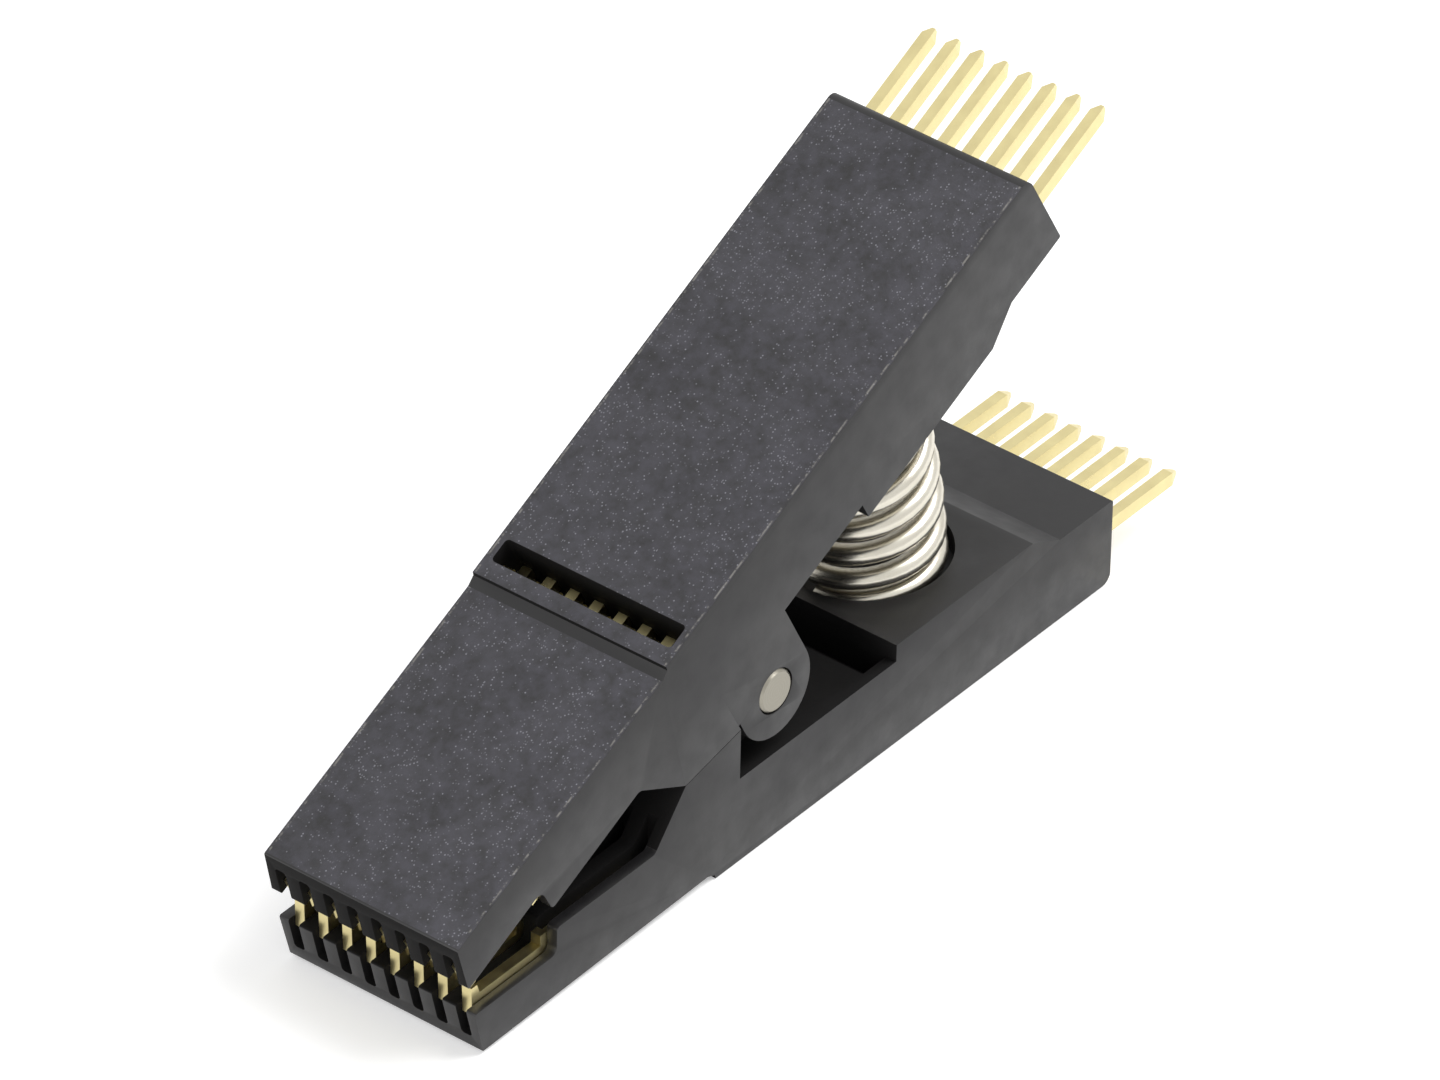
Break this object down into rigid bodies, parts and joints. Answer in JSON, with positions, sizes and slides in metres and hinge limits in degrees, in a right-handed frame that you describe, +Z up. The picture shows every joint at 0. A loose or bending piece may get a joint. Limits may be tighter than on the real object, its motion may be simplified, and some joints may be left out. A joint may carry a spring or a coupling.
{
  "type": "ic test clip",
  "caption": "Sprung test clip for a small-outline chip: two black jaws on a hinge pin, a coil spring between the handles, and rows of gold contacts ending in rear posts.",
  "frame": {"origin": "on the lower jaw's outer face, which lies down, straight below the hinge pin and midway across the width", "axes": "+X across the jaws along the hinge pin, +Y along the lower jaw from the nose towards the posts, +Z up from the lower jaw's outer face"},
  "size_m": [0.0108, 0.0471, 0.0239],
  "materials": {
    "jaw_plastic": "glass-filled black nylon with a fine sparkle",
    "contact_gold": "pale gold plating, satin",
    "pin_steel": "satin",
    "spring_steel": "bright drawn wire"
  },
  "bodies": {
    "lower": {"lower_jaw": "jaw_plastic", "hinge_pin": "pin_steel", "spring": "spring_steel", "lower_contact_1": "contact_gold", "lower_contact_2": "contact_gold", "lower_contact_3": "contact_gold", "lower_contact_4": "contact_gold", "lower_contact_5": "contact_gold", "lower_contact_6": "contact_gold", "lower_contact_7": "contact_gold", "lower_contact_8": "contact_gold"},
    "upper": {"upper_jaw": "jaw_plastic", "upper_contact_1": "contact_gold", "upper_contact_2": "contact_gold", "upper_contact_3": "contact_gold", "upper_contact_4": "contact_gold", "upper_contact_5": "contact_gold", "upper_contact_6": "contact_gold", "upper_contact_7": "contact_gold", "upper_contact_8": "contact_gold"}
  },
  "joints": [
    {"name": "jaw_open", "type": "hinge", "parent": "lower", "child": "upper", "pos_m": [0, 0, 0.00745], "axis": [-1, 0, 0], "range_deg": [0, 20], "stiffness_Nm_per_rad": 0.1, "springref_deg": -20.05, "deforming": ["spring"]}
  ]
}
